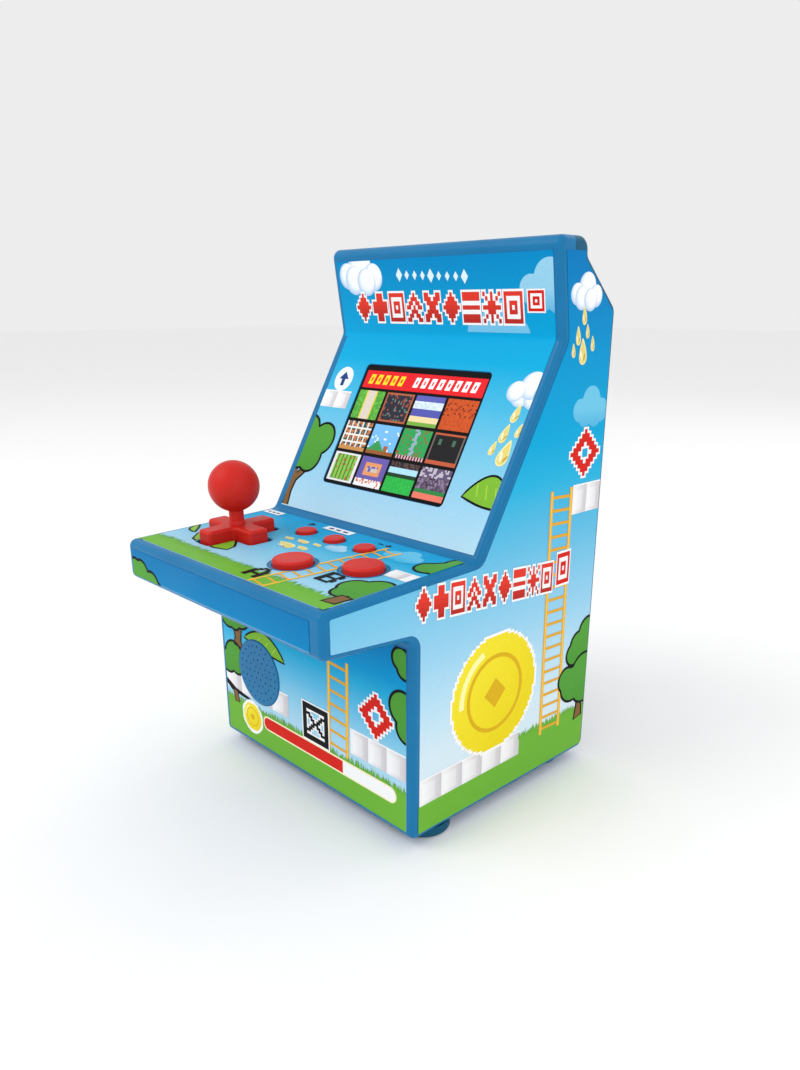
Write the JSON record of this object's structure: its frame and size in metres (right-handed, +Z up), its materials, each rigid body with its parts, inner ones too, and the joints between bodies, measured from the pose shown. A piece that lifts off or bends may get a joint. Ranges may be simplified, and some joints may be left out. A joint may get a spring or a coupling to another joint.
{
  "type": "bartop arcade cabinet",
  "caption": "Small tabletop arcade cabinet: leaning screen under an overhanging marquee, ball-top joystick on a cross, round push buttons, battery bay behind.",
  "frame": {"origin": "on the tabletop, under the middle of the cabinet's width and depth", "axes": "+Z up, the player stands at -Y, +X is the player's right"},
  "size_m": [0.1014, 0.12, 0.1756],
  "materials": {
    "blue_plastic": "moulded ABS, light blue, low gloss",
    "teal_plastic": "moulded ABS, deep teal blue, fine texture",
    "red_plastic": "moulded red plastic, satin",
    "foot_rubber": "soft rubber, matte",
    "printed_label": "printed film, semi-gloss",
    "clear_acrylic": "clear window",
    "black_foam": "foam gasket",
    "display_glass": "display glass",
    "metal_frame": "pressed steel",
    "flex_film": "polyimide film",
    "circuit_board": "solder mask",
    "chip_plastic": "moulded packages",
    "screw_steel": "zinc plated",
    "silicone": "silicone rubber",
    "black_plastic": "moulded ABS",
    "speaker_paper": "pressed paper",
    "wire_insulation": "PVC insulation",
    "cell_wrap": "printed shrink wrap",
    "plated_contact": "nickel plate"
  },
  "bodies": {
    "cabinet": {"front_cover": "blue_plastic", "left_side_panel": "blue_plastic", "right_side_panel": "blue_plastic", "rear_cover": "teal_plastic", "base_plate": "blue_plastic", "feet": "foot_rubber", "upper_label": "printed_label", "deck_label": "printed_label", "apron_label": "printed_label", "lower_front_label": "printed_label", "left_side_label": "printed_label", "right_side_label": "printed_label", "screen_lens": "clear_acrylic", "screen_gasket": "black_foam", "lcd_glass": "display_glass", "lcd_backlight": "metal_frame", "display_flex": "flex_film", "main_board": "circuit_board", "main_board_chips": "chip_plastic", "main_board_screws": "screw_steel", "control_board": "circuit_board", "control_board_screws": "screw_steel", "button_pad": "silicone", "direction_pad": "silicone", "gimbal_bracket": "black_plastic", "speaker_grille": "blue_plastic", "speaker_basket": "metal_frame", "speaker_cone": "speaker_paper", "speaker_magnet": "metal_frame", "speaker_wires": "wire_insulation", "battery_tray": "black_plastic", "battery_cells": "cell_wrap", "battery_contacts": "plated_contact", "battery_springs": "plated_contact", "battery_wires": "wire_insulation", "switch_body": "black_plastic", "case_screws": "screw_steel", "base_screws": "screw_steel", "ribbon_cable": "flex_film"},
    "gimbal": {"gimbal_ring": "black_plastic"},
    "joystick": {"stick_cross": "red_plastic", "stick_stem": "red_plastic", "stick_ball": "red_plastic"},
    "button_a": {"button_a": "red_plastic"},
    "button_b": {"button_b": "red_plastic"},
    "start_button": {"start_button": "red_plastic"},
    "volume_down_button": {"volume_down_button": "red_plastic"},
    "volume_up_button": {"volume_up_button": "red_plastic"},
    "power_switch": {"switch_slider": "black_plastic"},
    "battery_door": {"battery_door": "teal_plastic", "battery_door_screw": "screw_steel"}
  },
  "joints": [
    {"name": "stick_tilt_front_back", "type": "hinge", "parent": "cabinet", "child": "gimbal", "pos_m": [-0.0269, -0.03232, 0.0785], "axis": [1, 0, 0], "range_deg": [-5, 5], "stiffness_Nm_per_rad": 0.6},
    {"name": "stick_tilt_left_right", "type": "hinge", "parent": "gimbal", "child": "joystick", "pos_m": [-0.0269, -0.03232, 0.0785], "axis": [0, 0.9996, 0.0291], "range_deg": [-5, 5], "stiffness_Nm_per_rad": 0.6},
    {"name": "button_a_press", "type": "slide", "parent": "cabinet", "child": "button_a", "axis": [0, 0.0291, -0.9996], "range_m": [0, 0.0012], "stiffness_N_per_m": 400},
    {"name": "button_b_press", "type": "slide", "parent": "cabinet", "child": "button_b", "axis": [0, 0.0291, -0.9996], "range_m": [0, 0.0012], "stiffness_N_per_m": 400},
    {"name": "start_button_press", "type": "slide", "parent": "cabinet", "child": "start_button", "axis": [0, 0.0291, -0.9996], "range_m": [0, 0.0008], "stiffness_N_per_m": 350},
    {"name": "volume_down_button_press", "type": "slide", "parent": "cabinet", "child": "volume_down_button", "axis": [0, 0.0291, -0.9996], "range_m": [0, 0.0008], "stiffness_N_per_m": 350},
    {"name": "volume_up_button_press", "type": "slide", "parent": "cabinet", "child": "volume_up_button", "axis": [0, 0.0291, -0.9996], "range_m": [0, 0.0008], "stiffness_N_per_m": 350},
    {"name": "power_switch_slide", "type": "slide", "parent": "cabinet", "child": "power_switch", "axis": [1, 0, 0], "range_m": [0, 0.003]},
    {"name": "battery_door_pull", "type": "slide", "parent": "cabinet", "child": "battery_door", "axis": [0, 1, 0], "range_m": [0, 0.03]}
  ]
}
